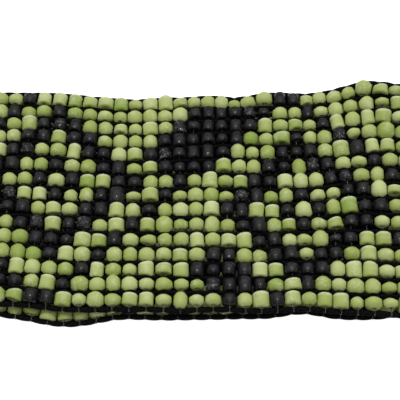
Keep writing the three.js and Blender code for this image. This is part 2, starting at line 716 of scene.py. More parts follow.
class CordTwist(SharedEffect):
    """The slanting plies of a twisted cord, as a height. Pitch is one turn, in millimetres."""

    NAME = "cord twist"
    INPUTS = {"Plies": 3.0, "Pitch": 3.0}
    OUTPUTS = ("Height",)

    @classmethod
    def lay_out(cls, desk: NodeDesk, given: bpy.types.Node, result: bpy.types.Node) -> None:
        """Lay out the plies on the cord's chart: millimetres along it, and shares of a turn.

        Args:
            desk: the group's desk.
            given: the node of its inputs.
            result: the node of its outputs.
        """
        split = desk.node("ShaderNodeSeparateXYZ")
        desk.feed(split.inputs[0], desk.node("ShaderNodeUVMap", uv_map=CORD_CHART).outputs[0])
        turns = desk.maths("DIVIDE", split.outputs[0], given.outputs["Pitch"])
        about = desk.maths("MULTIPLY_ADD", split.outputs[1], given.outputs["Plies"], turns)
        wave = desk.maths("SINE", desk.maths("MULTIPLY", about, 2 * math.pi))
        # The sine goes from -1 to 1, and the height from 0 to 1.
        desk.feed(result.inputs["Height"], desk.maths("MULTIPLY_ADD", wave, 0.5, 0.5))


def new_material(name: str) -> tuple[bpy.types.Material, NodeDesk, bpy.types.Node]:
    """Make a material with a bare shader.

    Args:
        name: its name.

    Returns:
        The material, its desk and its shader node.
    """
    material = bpy.data.materials.new(name)
    material.use_nodes = True
    desk = NodeDesk(material.node_tree)
    shader = desk.node("ShaderNodeBsdfPrincipled")
    output = desk.node("ShaderNodeOutputMaterial")
    desk.feed(output.inputs["Surface"], shader.outputs[0])
    return material, desk, shader


def roughen(
    desk: NodeDesk, shader: bpy.types.Node, height: bpy.types.NodeSocket, strength: float, depth: float
) -> None:
    """Give a shader the small bumps of a height.

    Args:
        desk: the material's desk.
        shader: its shader node.
        height: the height, from 0 to 1.
        strength: how strongly the bumps show.
        depth: how deep they are, in millimetres.
    """
    bump = desk.node("ShaderNodeBump")
    bump.inputs["Strength"].default_value = strength
    bump.inputs["Distance"].default_value = depth * MILLIMETRE
    desk.feed(bump.inputs["Height"], height)
    desk.feed(shader.inputs["Normal"], bump.outputs[0])


@dataclass(frozen=True)
class GlassFinish:
    """Opaque pressed glass: a colour that differs from bead to bead, a painted highlight at its far rim.

    rim_share, bloom and flaked say how far the rim colour hides the glass: as a painted highlight
    at its far rim, in pale patches and, on old beads, in flakes. Beads whose age is above old_above
    are old. The grains are for each metre, and pit_depth is in millimetres.
    """

    name: str
    slot: str
    stops: tuple[tuple[float, Colour], ...]
    # The rim colour: a painted highlight along the far rim, and the colour of the pale patches and flakes.
    rim: Colour
    rim_share: float
    bloom: float
    flaked: float
    roughness: tuple[float, float]
    shine: float
    pit_depth: float
    old_above: float
    old_step: float = 0.02
    fine_grain: float = 1500.0
    fine_contrast: float = 1.3
    broad_grain: float = 420.0
    broad_contrast: float = 1.6
    tint_drift: float = 0.22
    # Where the painted rim highlight lies on the bead's mark, and how the fine grain breaks it up.
    rim_edge: Span = Span(0.75, 1.0)
    rim_grain: Span = Span(0.2, 0.7, 0.4, 1.0)
    patch_range: tuple[float, float] = (0.55, 0.95)
    flake_grain: Span = Span(0.55, 0.7)
    roughness_range: tuple[float, float] = (0.1, 0.9)
    young_pits: float = 0.25
    bump_strength: float = 0.35

    def material(self) -> bpy.types.Material:
        """Build the finish.

        Returns:
            Its material.
        """
        material, desk, shader = new_material(self.name)
        age = desk.attribute("bead_age")
        fine = Mottle.placed(desk, self.fine_grain, self.fine_contrast)
        broad = Mottle.placed(desk, self.broad_grain, self.broad_contrast)
        drift = desk.maths("SUBTRACT", broad.outputs["Mask"], Mottle.MIDDLE)
        tint = desk.maths("MULTIPLY_ADD", drift, self.tint_drift, desk.attribute("bead_tint"))
        # The rim colour covers the glass as a painted highlight at the far rim and in pale patches and
        # flakes.
        highlight_and_pale = self._highlight_and_pale(desk, age, fine.outputs["Mask"], broad.outputs["Mask"])
        desk.feed(shader.inputs["Base Color"], desk.mix(highlight_and_pale, desk.ramp(tint, self.stops), self.rim))
        roughness = Span(*self.roughness_range, *self.roughness)
        desk.feed(shader.inputs["Roughness"], desk.span(fine.outputs["Mask"], roughness))
        shader.inputs["Specular IOR Level"].default_value = self.shine
        pitted = desk.span(age, self._when_old(self.young_pits, 1.0))
        pits = desk.maths("MULTIPLY", fine.outputs["Height"], pitted)
        roughen(desk, shader, pits, self.bump_strength, self.pit_depth)
        return material

    def _highlight_and_pale(
        self,
        desk: NodeDesk,
        age: bpy.types.NodeSocket,
        fine: bpy.types.NodeSocket,
        broad: bpy.types.NodeSocket,
    ) -> bpy.types.NodeSocket:
        """Say how far the rim colour hides the glass: as a painted highlight, in pale patches and in
        flakes.

        Args:
            desk: the material's desk.
            age: the bead's age.
            fine: the mask of the fine grain.
            broad: the mask of the broad grain.

        Returns:
            The greatest of the painted highlight at the far rim, the pale patches and the flakes.
        """
        # The pale line along the far rim is a painted highlight, broken up by the fine grain.
        rim = desk.span(desk.attribute("bead_rim"), self.rim_edge)
        painted_highlight = desk.maths("MULTIPLY", rim, desk.span(fine, self.rim_grain))
        patches = desk.span(broad, Span(*self.patch_range, 0.0, self.bloom))
        highlight_and_pale = desk.maths("MAXIMUM", desk.maths("MULTIPLY", painted_highlight, self.rim_share), patches)
        old = desk.span(age, self._when_old(0.0, self.flaked))
        flakes = desk.maths("MULTIPLY", old, desk.span(fine, self.flake_grain))
        return desk.maths("MAXIMUM", highlight_and_pale, flakes)

    def _when_old(self, young: float, old: float) -> Span:
        """Give one value to young beads and another to old ones."""
        return Span(self.old_above, self.old_above + self.old_step, young, old)


@dataclass(frozen=True)
class CordFinish:
    """Matt black cord with slanting plies, and finer fuzz over them.

    pitch and ply_depth are in millimetres, and fuzz_share is the fuzz's part of the ply depth.
    """

    name: str
    slot: str
    dark: Colour
    light: Colour
    plies: float
    pitch: float
    ply_depth: float
    fuzz_grain: float = 2600.0
    fuzz_contrast: float = 1.5
    fuzz_share: float = 0.4
    roughness: Span = Span(0.0, 1.0, 0.65, 0.9)
    shine: float = 0.08
    bump_strength: float = 0.8

    def material(self) -> bpy.types.Material:
        """Build the finish.

        Returns:
            Its material.
        """
        material, desk, shader = new_material(self.name)
        twist = CordTwist.placed(desk, self.plies, self.pitch)
        fuzz = Mottle.placed(desk, self.fuzz_grain, self.fuzz_contrast)
        share = desk.maths("MULTIPLY", twist.outputs["Height"], fuzz.outputs["Mask"])
        desk.feed(shader.inputs["Base Color"], desk.mix(share, self.dark, self.light))
        desk.feed(shader.inputs["Roughness"], desk.span(fuzz.outputs["Mask"], self.roughness))
        shader.inputs["Specular IOR Level"].default_value = self.shine
        height = desk.maths(
            "MULTIPLY_ADD", fuzz.outputs["Height"], self.fuzz_share, twist.outputs["Height"]
        )
        roughen(desk, shader, height, self.bump_strength, self.ply_depth)
        return material


@dataclass(frozen=True)
class ThreadFinish:
    """Clear nylon thread, slightly grey and smeared, that catches the light."""

    name: str
    slot: str
    tint: Colour
    smear_grain: float = 1200.0
    smear_contrast: float = 1.2
    smear_dulling: float = 0.8
    roughness: Span = Span(0.0, 1.0, 0.06, 0.22)
    clearness: float = 0.7
    refraction: float = 1.5

    def material(self) -> bpy.types.Material:
        """Build the finish.

        Returns:
            Its material.
        """
        material, desk, shader = new_material(self.name)
        smear = Mottle.placed(desk, self.smear_grain, self.smear_contrast).outputs["Mask"]
        dull = tuple(part * self.smear_dulling for part in self.tint[:3]) + (1.0,)
        desk.feed(shader.inputs["Base Color"], desk.mix(smear, self.tint, dull))
        desk.feed(shader.inputs["Roughness"], desk.span(smear, self.roughness))
        shader.inputs["Transmission Weight"].default_value = self.clearness
        shader.inputs["IOR"].default_value = self.refraction
        return material


LIME_GLASS = GlassFinish(
    name="lime glass",
    slot="bead_lime",
    stops=(
        (0.0, (0.31, 0.43, 0.08, 1.0)),
        (0.3, (0.42, 0.51, 0.14, 1.0)),
        (0.65, (0.515, 0.595, 0.208, 1.0)),
        (1.0, (0.63, 0.70, 0.31, 1.0)),
    ),
    # Painted highlight along the far rim, and the colour of the pale patches and flakes.
    rim=(0.78, 0.82, 0.58, 1.0),
    rim_share=0.85,
    bloom=0.45,
    flaked=0.5,
    roughness=(0.4, 0.55),
    shine=0.3,
    pit_depth=0.02,
    old_above=0.8,
)
BLACK_GLASS = GlassFinish(
    name="black glass",
    slot="bead_black",
    stops=(
        (0.0, (0.006, 0.006, 0.0075, 1.0)),
        (1.0, (0.014, 0.0135, 0.016, 1.0)),
    ),
    # A faint painted highlight along the far rim, and the colour of the grey patches and flakes.
    rim=(0.24, 0.24, 0.245, 1.0),
    rim_share=0.02,
    bloom=0.12,
    flaked=0.65,
    roughness=(0.06, 0.18),
    shine=0.32,
    pit_depth=0.12,
    old_above=0.88,
)
EDGE_CORD = CordFinish(
    name="black edge cord",
    slot="cord_black",
    dark=(0.002, 0.002, 0.0025, 1.0),
    light=(0.008, 0.008, 0.009, 1.0),
    plies=3.0,
    pitch=1.6,
    ply_depth=0.12,
)
WARP_CORD = CordFinish(
    name="black warp cord",
    slot="cord_black",
    dark=(0.0015, 0.0015, 0.002, 1.0),
    light=(0.005, 0.005, 0.006, 1.0),
    plies=2.0,
    pitch=1.1,
    ply_depth=0.08,
)
CLEAR_THREAD = ThreadFinish(
    name="clear nylon thread",
    slot="thread_clear",
    tint=(0.45, 0.46, 0.44, 1.0),
)


@dataclass
class MeshParts:
    """Points and faces gathered from many copies, before they become one mesh."""

    points: list[np.ndarray] = field(default_factory=list)
    faces: list[np.ndarray] = field(default_factory=list)
    marks: dict[str, list[np.ndarray]] = field(default_factory=dict)
    chart: list[np.ndarray] = field(default_factory=list)
    count: int = 0

    def add(self, points: np.ndarray, faces: np.ndarray, **marks: np.ndarray) -> None:
        """Add one copy, in millimetres.

        Args:
            points: its points.
            faces: its four-sided faces.
            marks: named numbers, one for each point.
        """
        self.points.append(points)
        self.faces.append(faces + self.count)
        self.count += len(points)
        for name, values in marks.items():
            self.marks.setdefault(name, []).append(values)

    def piece(self, name: str, material: bpy.types.Material) -> bpy.types.Object:
        """Join all copies in one piece, in metres.

        Args:
            name: the piece's name.
            material: its material.

        Returns:
            The piece, smoothly shaded, at the origin.
        """
        points = np.concatenate(self.points) * MILLIMETRE
        faces = np.concatenate(self.faces)
        mesh = bpy.data.meshes.new(name)
        mesh.vertices.add(len(points))
        mesh.vertices.foreach_set("co", points.ravel())
        mesh.loops.add(faces.size)
        mesh.loops.foreach_set("vertex_index", faces.ravel())
        mesh.polygons.add(len(faces))
        mesh.polygons.foreach_set("loop_start", np.arange(0, faces.size, faces.shape[1]))
        mesh.polygons.foreach_set("use_smooth", np.ones(len(faces), dtype=bool))
        for mark, values in self.marks.items():
            held = mesh.attributes.new(mark, "FLOAT", "POINT")
            held.data.foreach_set("value", np.concatenate(values).astype(np.float32))
        if self.chart:
            chart = mesh.uv_layers.new(name=CORD_CHART)
            chart.data.foreach_set("uv", np.concatenate(self.chart).astype(np.float32).ravel())
        mesh.update(calc_edges=True)
        mesh.validate()
        mesh.materials.append(material)
        piece = bpy.data.objects.new(name, mesh)
        bpy.context.scene.collection.objects.link(piece)
        return piece


def hand_over(piece: bpy.types.Object, node: str) -> bpy.types.Object:
    """Put a piece on the body, and hide the frame's node that it stands for.

    Args:
        piece: the piece.
        node: the node of the frame that it stands for.

    Returns:
        The same piece.
    """
    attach(piece, BODY)
    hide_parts(node)
    return piece


class BeadForm(Enum):
    """How far the ends of a bead are rounded, as a share of its radius."""

    ROUNDED = 0.4
    SQUARE = 0.15


class MeshPart(Enum):
    """What is selected in edit mode."""

    EDGE = "EDGE"
    FACE = "FACE"


class BeadShape(NamedTuple):
    """A bead's mesh, in millimetres, with its hole along Y."""

    points: np.ndarray
    faces: np.ndarray


@dataclass
class BeadMaker:
    """Models one bead of each form. What is nearly at its end, as a share, counts as at it."""

    sizes: BeltSizes
    sides: int = 12
    hole_across: float = 1.3
    nearly: float = 0.99

    def shape(self, form: BeadForm) -> BeadShape:
        """Model a bead as by hand: a short rod, rounded at both ends and bored through.

        Args:
            form: how its ends are rounded.

        Returns:
            Its mesh.
        """
        radius = self.sizes.bead_across / 2
        half = self.sizes.bead_long / 2
        round_off = form.value * radius
        bpy.ops.object.select_all(action="DESELECT")
        bpy.ops.mesh.primitive_cylinder_add(
            vertices=self.sides, radius=radius, depth=2 * half, rotation=(math.pi / 2, 0, 0)
        )
        bpy.ops.object.transform_apply(location=False, rotation=True, scale=False)
        rod = bpy.context.object
        at_end = self.nearly * half * half
        self._choose(rod, MeshPart.EDGE, lambda first, second: first.y * second.y > at_end)
        bpy.ops.mesh.bevel(offset=round_off, segments=1, affect="EDGES")
        self._choose(rod, MeshPart.FACE, lambda normal: abs(normal.y) > self.nearly)
        bpy.ops.mesh.inset(thickness=radius - round_off - self.hole_across / 2)
        bpy.ops.mesh.delete(type="FACE")
        bpy.ops.mesh.select_mode(type="EDGE")
        bpy.ops.mesh.select_all(action="DESELECT")
        bpy.ops.mesh.select_non_manifold()
        bpy.ops.mesh.bridge_edge_loops()
        bpy.ops.mesh.select_all(action="SELECT")
        bpy.ops.mesh.normals_make_consistent(inside=False)
        bpy.ops.object.mode_set(mode="OBJECT")
        mesh = rod.data
        points = np.array([vertex.co[:] for vertex in mesh.vertices])
        faces = np.array([polygon.vertices[:] for polygon in mesh.polygons])
        bpy.data.objects.remove(rod)
        bpy.data.meshes.remove(mesh)
        return BeadShape(points, faces)

    @staticmethod
    def _choose(rod: bpy.types.Object, part: MeshPart, wanted: Callable[..., bool]) -> None:
        """Select some edges or faces of the rod, in edit mode.

        Args:
            rod: the rod.
            part: which of the two.
            wanted: says whether to take an edge with these two ends, or a face with this normal.
        """
        bpy.ops.object.mode_set(mode="EDIT")
        bpy.ops.mesh.select_mode(type=part.value)
        bpy.ops.mesh.select_all(action="DESELECT")
        bpy.ops.object.mode_set(mode="OBJECT")
        points = rod.data.vertices
        if part is MeshPart.EDGE:
            for edge in rod.data.edges:
                edge.select = wanted(*(points[index].co for index in edge.vertices))
        else:
            for polygon in rod.data.polygons:
                polygon.select = wanted(polygon.normal)
        bpy.ops.object.mode_set(mode="EDIT")


class OddBead(NamedTuple):
    """A bead that stands out: its row from 1, its column, and how it differs.

    wide and long are shares of the usual size. shift_along and shift_across are millimetres,
    turn is in degrees seen from above, and tint is 0 for deep and 1 for pale.
    """

    row: int
    column: int
    wide: float
    long: float
    shift_along: float
    shift_across: float
    turn: float
    tint: float


ODD_BEADS = (
    OddBead(1, 14, 1.0, 1.05, 0.0, -0.3, 0.0, 0.4),
    OddBead(1, 15, 0.97, 1.15, 0.0, -0.6, 0.0, 0.6),
    OddBead(1, 16, 0.88, 0.78, 0.0, -1.3, 0.0, 0.2),
    OddBead(1, 17, 1.08, 0.95, 0.0, -0.6, 12.0, 0.5),
    OddBead(1, 18, 1.14, 1.05, 0.0, 0.5, 0.0, 0.6),
    OddBead(1, 21, 0.9, 0.82, 0.0, -0.5, 0.0, 0.3),
    OddBead(1, 23, 1.06, 0.95, 0.0, -0.5, 8.0, 0.5),
    OddBead(1, 24, 0.95, 0.9, 0.0, -0.2, 24.0, 0.4),
    OddBead(1, 25, 1.14, 1.15, -0.1, 0.4, -14.0, 0.35),
    OddBead(1, 26, 1.05, 0.74, 0.0, -0.7, -4.0, 0.4),
    OddBead(1, 27, 1.08, 0.8, 0.0, -0.7, -4.0, 0.2),
    OddBead(3, 23, 0.92, 1.3, 0.0, -0.2, 8.0, 0.6),
    OddBead(4, 19, 1.25, 0.92, 0.0, 0.2, 0.0, 0.15),
    OddBead(4, 24, 0.92, 0.72, 0.0, 0.1, 14.0, 0.7),
    OddBead(4, 26, 1.18, 1.3, 0.0, 0.0, 0.0, 0.2),
    OddBead(8, 8, 1.1, 1.3, 0.0, 0.0, 0.0, 0.9),
    OddBead(8, 25, 1.05, 1.35, 0.0, 0.0, 0.0, 1.0),
    OddBead(8, 26, 0.98, 0.68, 0.0, 0.0, 0.0, 0.6),
    OddBead(15, 23, 0.84, 0.8, -0.3, -0.2, 0.0, 0.4),
)


def scattered(
    draw: np.random.Generator, shape: tuple[int, int], spread: float, least: float = -2.0, most: float = 2.0
) -> np.ndarray:
    """Draw numbers that scatter about nought by a spread, between two limits counted in spreads."""
    return spread * np.clip(draw.normal(size=shape), least, most)


@dataclass
class BeadField:
    """The woven beads: one joined piece for each row and colour.

    The spreads say how far beads differ from the usual one: wide, long, skew and flare as shares
    of its size, shift in millimetres and turn in degrees. The square shares say how many beads
    have square ends. wide and long of each colour are shares of the belt's bead size. rim_from
    and rim_clear say where the painted highlight at a bead's far rim starts along the bead, and
    how far from its hole.
    """

    lie: BeltLie
    pattern: WovenPattern
    maker: BeadMaker
    seed: int = 7
    wide_spread: float = 0.06
    long_spread: float = 0.15
    shift_spread: float = 0.12
    turn_spread: float = 2.6
    skew_spread: float = 0.09
    flare_spread: float = 0.035
    square_share: float = 0.3
    black_square_share: float = 0.9
    lime_wide: float = 1.0
    lime_long: float = 0.98
    black_wide: float = 0.94
    black_long: float = 0.88
    least_gap: float = 0.04
    settling_steps: int = 4
    fitting_steps: int = 3
    # Where the painted highlight at the far rim starts, and how far it keeps from the hole.
    rim_from: float = 0.7
    rim_clear: float = 0.1

    def __post_init__(self) -> None:
        """Draw how each bead differs from the usual one, and fit all beads to their room."""
        sizes = self.lie.sizes
        draw = np.random.default_rng(self.seed)
        shape = (sizes.row_count, sizes.column_count)
        self.tones = np.array(
            [[self.pattern.tone(column, row) for column in range(shape[1])] for row in range(shape[0])]
        )
        self.wide = 1 + scattered(draw, shape, self.wide_spread)
        self.long = 1 + scattered(draw, shape, self.long_spread, least=-2.4)
        self.shift_along = scattered(draw, shape, self.shift_spread)
        self.shift_across = scattered(draw, shape, self.shift_spread)
        self.turn = scattered(draw, shape, self.turn_spread, -2.5, 2.5)
        self.roll = scattered(draw, shape, self.turn_spread, -2.5, 2.5)
        self.skew = scattered(draw, shape, self.skew_spread, -2.5, 2.5)
        self.flare = scattered(draw, shape, self.flare_spread)
        self.spin = draw.uniform(0, 2 * math.pi, size=shape)
        self.tint = draw.uniform(0, 1, size=(2,) + shape).mean(axis=0)
        self.age = draw.uniform(0, 1, size=shape)
        black = self.tones == Tone.BLACK
        square_share = np.where(black, self.black_square_share, self.square_share)
        self.square = draw.uniform(0, 1, size=shape) < square_share
        self.wide = self.wide * np.where(black, self.black_wide, self.lime_wide)
        self.long = self.long * np.where(black, self.black_long, self.lime_long)
        self._use_odd_beads()
        self._settle()
        self._lay()
        self._fit()

    def _use_odd_beads(self) -> None:
        """Give the beads that stand out their own sizes, places and tints."""
        for odd in ODD_BEADS:
            place = (odd.row - 1, odd.column)
            self.wide[place] = odd.wide
            self.long[place] = odd.long
            self.shift_along[place] = odd.shift_along
            self.shift_across[place] = odd.shift_across
            self.turn[place] = odd.turn
            self.tint[place] = odd.tint

    def _settle(self) -> None:
        """Move beads along their rows until the gaps beside each one are more alike."""
        sizes = self.lie.sizes
        for _ in range(self.settling_steps):
            following = np.roll(self.shift_along, -1, axis=1) + sizes.column_pitch - self.shift_along
            gap = following - sizes.bead_across * (self.wide + np.roll(self.wide, -1, axis=1)) / 2
            self.shift_along = self.shift_along + (gap - np.roll(gap, 1, axis=1)) / 4

    def _lay(self) -> None:
        """Find where every bead lies, and the band's directions there."""
        sizes = self.lie.sizes
        pitch = self.lie.length / sizes.column_count
        columns = (np.arange(sizes.column_count) - sizes.first_column) * pitch
        rows = np.array([sizes.row_middle(row) for row in range(sizes.row_count)])
        along = columns[None, :] + self.shift_along
        across = rows[:, None] + self.shift_across
        self.centres = self.lie.place(along, across, 0.0)
        self.axes = np.stack(self.lie.axes(along, across), axis=-1)

    def _fit(self) -> None:
        """Narrow and shorten the beads that would touch the next one."""
        sizes = self.lie.sizes
        self.wide = self.wide * sizes.bead_across
        self.long = self.long * sizes.bead_long
        beside = np.linalg.norm(np.roll(self.centres, -1, axis=1) - self.centres, axis=-1)
        beyond = np.linalg.norm(self.centres[1:] - self.centres[:-1], axis=-1)
        for _ in range(self.fitting_steps):
            squeeze = (beside - self.least_gap) / ((self.wide + np.roll(self.wide, -1, axis=1)) / 2)
            squeeze = np.minimum(1.0, squeeze)
            self.wide = self.wide * np.minimum(squeeze, np.roll(squeeze, 1, axis=1))
            press = (beyond - self.least_gap) / ((self.long[1:] + self.long[:-1]) / 2)
            press = np.minimum(1.0, press)
            self.long[:-1] = self.long[:-1] * press
            self.long[1:] = self.long[1:] * press

    def edge_reach(self, edge: Edge) -> np.ndarray:
        """Say how far the beads of an outer row reach.

        Args:
            edge: the edge that the row lies at.

        Returns:
            The distance from the middle line to the outer end of each bead.
        """
        row = 0 if edge is Edge.FAR else self.lie.sizes.row_count - 1
        middle = edge.value * (self.lie.sizes.row_middle(row) + self.shift_across[row])
        return middle + self.long[row] / 2

    def _bead_points(self, shape: BeadShape, row: int, column: int) -> np.ndarray:
        """Give a bead's points about its own middle, before it is laid on the belt.

        Args:
            shape: the bead's mesh.
            row: its row.
            column: its column.

        Returns:
            Its points.
        """
        sizes = self.lie.sizes
        place = (row, column)
        across, long = self.wide[place] / sizes.bead_across, self.long[place] / sizes.bead_long
        points = shape.points * np.array([across, long, across])
        half = self.long[place] / 2
        spin = self.spin[place]
        slope = self.skew[place] * (math.cos(spin) * points[:, 0] + math.sin(spin) * points[:, 2])
        flare = 1 + self.flare[place] * points[:, 1] / half
        points[:, 0] *= flare
        points[:, 2] *= flare
        points[:, 1] *= 1 + slope / half
        turn = math.radians(self.turn[place])
        roll = math.radians(self.roll[place])
        about_out = np.array(
            [[math.cos(turn), -math.sin(turn), 0], [math.sin(turn), math.cos(turn), 0], [0, 0, 1]]
        )
        about_along = np.array(
            [[1, 0, 0], [0, math.cos(roll), -math.sin(roll)], [0, math.sin(roll), math.cos(roll)]]
        )
        return points @ (about_out @ about_along).T

    def _far_rim_highlight(self, shape: BeadShape) -> np.ndarray:
        """Mark the outer edge of a bead's far end, where a pale highlight is painted.

        Args:
            shape: the bead's mesh.

        Returns:
            1 for each of its points there, and 0 for the others.
        """
        at_end = shape.points[:, 1] > self.rim_from * self.lie.sizes.bead_long / 2
        from_middle = np.hypot(shape.points[:, 0], shape.points[:, 2])
        outside = from_middle > self.maker.hole_across / 2 + self.rim_clear
        return (at_end & outside).astype(float)

    def _gather(self, shapes: dict[BeadForm, BeadShape], row: int, tone: Tone) -> MeshParts:
        """Gather the beads of one row and colour.

        Args:
            shapes: the bead's mesh in each form.
            row: the row.
            tone: the colour.

        Returns:
            All their points and faces.
        """
        parts = MeshParts()
        for column in np.flatnonzero(self.tones[row] == tone):
            form = BeadForm.SQUARE if self.square[row, column] else BeadForm.ROUNDED
            shape = shapes[form]
            each = np.ones(len(shape.points))
            points = self._bead_points(shape, row, column) @ self.axes[row, column].T
            points += self.centres[row, column]
            # A turned or wide bead of the lower layer is lifted, so that it lies on the floor.
            points[:, 2] += max(0.0, -points[:, 2].min())
            parts.add(
                points,
                shape.faces,
                bead_tint=each * self.tint[row, column],
                bead_age=each * self.age[row, column],
                # The far rim's mark, where the material paints a pale highlight.
                bead_rim=self._far_rim_highlight(shape),
            )
        return parts

    def build(self, finishes: dict[Tone, GlassFinish]) -> list[bpy.types.Object]:
        """Make the beads of every row.

        Args:
            finishes: the finish of each colour.

        Returns:
            The pieces, one for each row and colour.
        """
        shapes = {form: self.maker.shape(form) for form in BeadForm}
        materials = {tone: finish.material() for tone, finish in finishes.items()}
        pieces = []
        for row in range(self.lie.sizes.row_count):
            for tone, finish in finishes.items():
                parts = self._gather(shapes, row, tone)
                piece = parts.piece(f"{tone.value}_beads_row_{row + 1:02d}", materials[tone])
                pieces.append(hand_over(piece, BAND_NODE))
        return pieces


def tube(
    parts: MeshParts,
    middles: np.ndarray,
    beside: np.ndarray,
    radii: np.ndarray,
    sides: int,
    tallness: float = 1.0,
) -> None:
    """Add a closed ring of tube along a closed line.

    Args:
        parts: what the tube is added to.
        middles: the line's points, in order round it.
        beside: a way that is square to the line at each point, or nearly.
        radii: the tube's radius at each point, beside the line.
        sides: how many sides it has.
        tallness: how many times its width the tube is tall.
    """
    ahead = unit(np.roll(middles, -1, axis=0) - np.roll(middles, 1, axis=0))
    above = unit(np.cross(ahead, beside))
    aside = np.cross(above, ahead)
    turn = 2 * math.pi * np.arange(sides) / sides
    out, up = np.cos(turn)[None, :, None], tallness * np.sin(turn)[None, :, None]
    ring = out * aside[:, None] + up * above[:, None]
    points = middles[:, None] + ring * radii[:, None, None]
    count = len(middles)
    step, side = np.meshgrid(np.arange(count), np.arange(sides), indexing="ij")
    next_step, next_side = (step + 1) % count, (side + 1) % sides
    corners = np.stack(
        [
            step * sides + side,
            step * sides + next_side,
            next_step * sides + next_side,
            next_step * sides + side,
        ],
        axis=-1,
    )
    parts.add(points.reshape(-1, 3), corners.reshape(-1, 4))
    lengths = np.linalg.norm(np.roll(middles, -1, axis=0) - middles, axis=1)
    start = (np.cumsum(lengths) - lengths)[step]
    end = np.cumsum(lengths)[step]
    low, high = side / sides, (side + 1) / sides
    chart = np.stack(
        [np.stack(corner, axis=-1) for corner in ((start, low), (start, high), (end, high), (end, low))],
        axis=-2,
    )
    parts.chart.append(chart.reshape(-1, 2))


@dataclass
class WarpCords:
    """The inner cords: between each two rows of beads lies a pair, one over the other."""

    lie: BeltLie
    across: float = 1.15
    tallness: float = 2.0
    depth: float = 0.5
    sides: int = 6
    steps_for_each_column: int = 4
    wave_height: float = 0.12

    def build(self, finish: CordFinish) -> list[bpy.types.Object]:
        """Make the cords, which rise and sink a little between the columns.

        Args:
            finish: their finish.

        Returns:
            One piece for each cord.
        """
        sizes = self.lie.sizes
        material = finish.material()
        steps = sizes.column_count * self.steps_for_each_column
        along = np.arange(steps) * self.lie.length / steps
        # Each cord rises at one column and sinks at the next, and its neighbour does the opposite.
        wave = math.pi * np.arange(steps) / self.steps_for_each_column
        pieces = []
        for gap in range(sizes.row_count - 1):
            middle = (sizes.row_middle(gap) + sizes.row_middle(gap + 1)) / 2
            height = self.wave_height * np.sin(wave + gap * math.pi) - self.depth
            parts = MeshParts()
            aside = self.lie.axes(along, np.full(steps, middle))[1]
            middles = self.lie.place(along, middle, height)
            tube(parts, middles, aside, np.full(steps, self.across / 2), self.sides, self.tallness)
            piece = parts.piece(f"warp_cord_{gap + 1:02d}", material)
            pieces.append(hand_over(piece, BAND_NODE))
        return pieces


@dataclass
class EdgeCords:
    """The thick cords along both edges, drawn against the outer beads by the thread.

    pinch and bulge are shares of a cord's thickness, taken off at the thread and added between
    two threads, and a smaller notch makes the pinched stretch shorter. The gaps lie between the
    beads and a cord, and the sags are how far a cord hangs under the beads' middles.
    """

    beads: BeadField
    sides: int = 10
    steps_for_each_column: int = 6
    pinch: float = 0.15
    bulge: float = 0.28
    notch: float = 0.6
    far_gap: float = 0.15
    near_gap: float = 0.12
    far_sag: float = 1.1
    near_sag: float = 0.8

    def columns_at(self, along: np.ndarray) -> np.ndarray:
        """Count the columns that lie before some distances round the loop."""
        sizes = self.beads.lie.sizes
        return along / self.beads.lie.length * sizes.column_count + sizes.first_column

    def middle_at(self, along: np.ndarray, edge: Edge) -> np.ndarray:
        """Find how far a cord's middle lies from the middle line.

        Args:
            along: distances round the loop.
            edge: the cord's edge.

        Returns:
            The distance at each place, towards the far edge.
        """
        reach = self.beads.edge_reach(edge)
        eased = (np.roll(reach, 1) + 2 * reach + np.roll(reach, -1)) / 4
        beads = np.interp(self.columns_at(along), np.arange(len(eased)), eased, period=len(eased))
        gap = self.far_gap if edge is Edge.FAR else self.near_gap
        return edge.value * (beads + gap + self.beads.lie.sizes.edge_cord_across / 2)

    def sag_at(self, along: np.ndarray, edge: Edge) -> np.ndarray:
        """Find how far a cord's middle hangs under the beads' middles."""
        sag = self.far_sag if edge is Edge.FAR else self.near_sag
        return sag * self.beads.lie.upward(along)

    def build(self, finish: CordFinish) -> list[bpy.types.Object]:
        """Make both cords.

        Args:
            finish: their finish.

        Returns:
            The far cord and the near one.
        """
        lie = self.beads.lie
        material = finish.material()
        steps = lie.sizes.column_count * self.steps_for_each_column
        along = np.arange(steps) * lie.length / steps
        between = np.abs(np.sin(math.pi * self.columns_at(along))) ** self.notch
        swell = 1 + self.bulge - (self.pinch + self.bulge) * (1 - between)
        radii = lie.sizes.edge_cord_across / 2 * swell
        pieces = []
        for edge, name in CORD_NODES.items():
            across = self.middle_at(along, edge)
            parts = MeshParts()
            aside = lie.axes(along, across)[1]
            middles = lie.place(along, across, -self.sag_at(along, edge))
            tube(parts, middles, aside, radii, self.sides)
            piece = parts.piece(f"{name}_twisted", material)
            pieces.append(hand_over(piece, name))
        return pieces


